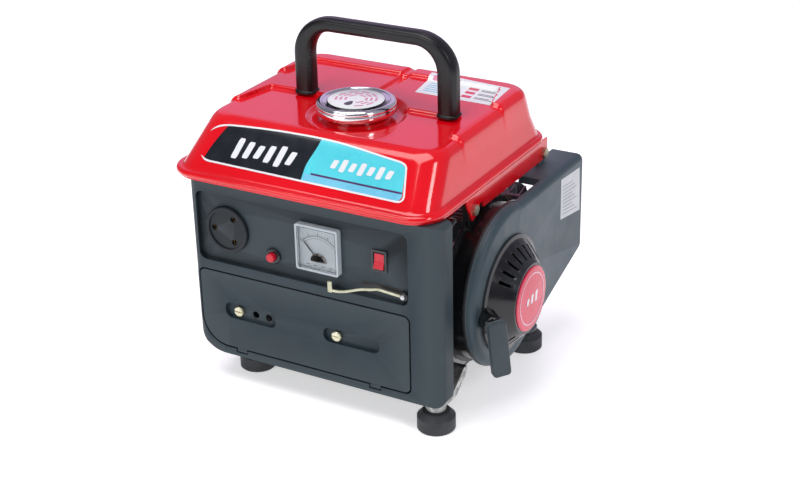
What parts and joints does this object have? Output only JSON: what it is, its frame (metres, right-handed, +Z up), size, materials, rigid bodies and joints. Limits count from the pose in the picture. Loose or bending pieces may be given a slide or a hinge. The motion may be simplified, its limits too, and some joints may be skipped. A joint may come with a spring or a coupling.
{
  "type": "portable generator",
  "caption": "Small two-stroke petrol generator with a red tank on top, a dark control panel, a carrying handle, rubber feet and a recoil starter at one end.",
  "frame": {"origin": "on the floor under the middle of the overall box", "axes": "+Z up, -Y is the control panel side, +X is the recoil starter side"},
  "size_m": [0.365, 0.308, 0.37],
  "materials": {
    "red_paint": "gloss",
    "black_paint": "satin",
    "panel_plastic": "matte",
    "shroud_paint": "satin",
    "gloss_black": "gloss",
    "handle_black": "satin",
    "black_rubber": "matte",
    "zinc_steel": "satin",
    "yellow_zinc": "satin",
    "galvanised": "spangled",
    "cast_alloy": "cast",
    "machined_steel": "machined",
    "chrome_cap": "polished",
    "meter_black": "gloss",
    "dial_white": "printed",
    "clear_front": "clear",
    "needle_black": "matte",
    "switch_red": "gloss",
    "brass_part": "satin",
    "label_red": "printed",
    "rope_black": "braided",
    "foam": "open cell",
    "wound_core": "lacquered",
    "exhaust_steel": "heat tinted",
    "spring_steel": "blued"
  },
  "bodies": {
    "chassis": {"ac_socket": "gloss_black", "air_cleaner": "handle_black", "air_filter": "foam", "alternator_case": "cast_alloy", "base_frame": "black_paint", "breaker_body": "gloss_black", "carburettor": "cast_alloy", "connecting_rod": "machined_steel", "control_panel": "panel_plastic", "crankcase_left": "cast_alloy", "crankcase_right": "cast_alloy", "cylinder": "cast_alloy", "cylinder_head": "cast_alloy", "fan_housing": "black_paint", "filler_neck": "red_paint", "foot_bolts": "zinc_steel", "foot_bracket": "galvanised", "fuel_hose": "black_rubber", "fuel_tap": "brass_part", "handle": "handle_black", "ignition_coil": "gloss_black", "main_bearings": "machined_steel", "meter_case": "meter_black", "meter_dial": "dial_white", "meter_lens": "clear_front", "muffler": "exhaust_steel", "muffler_guard": "black_paint", "piston": "cast_alloy", "plug_lead": "black_rubber", "pull_rope": "rope_black", "recoil_cover": "gloss_black", "recoil_label": "label_red", "recoil_spring": "spring_steel", "rubber_feet": "black_rubber", "shroud": "shroud_paint", "socket_contacts": "brass_part", "spark_plug": "machined_steel", "stator": "wound_core", "switch_bezel": "gloss_black", "tank_bolts": "yellow_zinc", "tank_bracket_left": "black_paint", "tank_bracket_right": "red_paint", "tank_lower": "red_paint", "tank_upper": "red_paint"},
    "crank_train": {"crankshaft": "machined_steel", "flywheel_fan": "cast_alloy", "alternator_rotor": "wound_core"},
    "cap_lift": {"cap_gasket": "black_rubber"},
    "cap": {"fuel_cap": "chrome_cap"},
    "rocker": {"rocker_switch": "switch_red"},
    "button": {"reset_button": "switch_red"},
    "needle": {"meter_needle": "needle_black"},
    "choke": {"choke_lever": "yellow_zinc"},
    "tap": {"fuel_tap_lever": "gloss_black"},
    "cover": {"lower_cover": "panel_plastic"},
    "screw_left": {"cover_screw_left": "yellow_zinc"},
    "screw_right": {"cover_screw_right": "yellow_zinc"},
    "plug_boot": {"plug_cap": "black_rubber"},
    "grip": {"pull_grip": "handle_black"},
    "pulley": {"recoil_pulley": "handle_black"}
  },
  "joints": [
    {"name": "crank_turn", "type": "hinge", "parent": "chassis", "child": "crank_train", "pos_m": [0.082, -0.031, 0.112], "axis": [1, 0, 0], "continuous": true},
    {"name": "cap_lift_off", "type": "slide", "parent": "chassis", "child": "cap_lift", "axis": [0, 0, 1], "range_m": [0, 0.05]},
    {"name": "cap_turn", "type": "hinge", "parent": "cap_lift", "child": "cap", "pos_m": [-0.018, -0.045, 0.29], "axis": [0, 0, 1], "range_deg": [0, 90]},
    {"name": "switch_rock", "type": "hinge", "parent": "chassis", "child": "rocker", "pos_m": [0.0625, -0.143, 0.178], "axis": [1, 0, 0], "range_deg": [0, 17]},
    {"name": "button_press", "type": "slide", "parent": "chassis", "child": "button", "axis": [0, 1, 0], "range_m": [0, 0.003], "stiffness_N_per_m": 300, "springref_m": -0.002},
    {"name": "needle_swing", "type": "hinge", "parent": "chassis", "child": "needle", "pos_m": [-0.0055, -0.1469, 0.1655], "axis": [0, 1, 0], "range_deg": [0, 84], "stiffness_Nm_per_rad": 0.0005, "springref_deg": -2.86},
    {"name": "choke_swing", "type": "hinge", "parent": "chassis", "child": "choke", "pos_m": [0.09, -0.143, 0.147], "axis": [0, 1, 0], "range_deg": [-7, 3.5]},
    {"name": "fuel_tap_turn", "type": "hinge", "parent": "chassis", "child": "tap", "pos_m": [0.1135, -0.094, 0.201], "axis": [1, 0, 0], "range_deg": [-90, 0]},
    {"name": "cover_slide_off", "type": "slide", "parent": "chassis", "child": "cover", "axis": [0, -1, 0], "range_m": [0, 0.08]},
    {"name": "screw_left_turn", "type": "hinge", "parent": "cover", "child": "screw_left", "pos_m": [-0.106, -0.148, 0.085], "axis": [0, 1, 0], "range_deg": [0, 90]},
    {"name": "screw_right_turn", "type": "hinge", "parent": "cover", "child": "screw_right", "pos_m": [0.012, -0.148, 0.085], "axis": [0, 1, 0], "range_deg": [0, 90]},
    {"name": "plug_cap_pull", "type": "slide", "parent": "chassis", "child": "plug_boot", "axis": [0, 0.9659, 0.2588], "range_m": [0, 0.035]},
    {"name": "starter_pull", "type": "slide", "parent": "chassis", "child": "grip", "axis": [0.7431, -0.6691, 0], "range_m": [0, 0.45], "stiffness_N_per_m": 15, "springref_m": -0.05, "deforming": ["pull_rope"]},
    {"name": "pulley_turn", "type": "hinge", "parent": "chassis", "child": "pulley", "pos_m": [0.154, -0.031, 0.112], "axis": [1, 0, 0], "range_deg": [-720, 0]}
  ],
  "couplings": [
    {"joint": "pulley_turn", "follows": "starter_pull", "rad_per_m": -27.855}
  ]
}
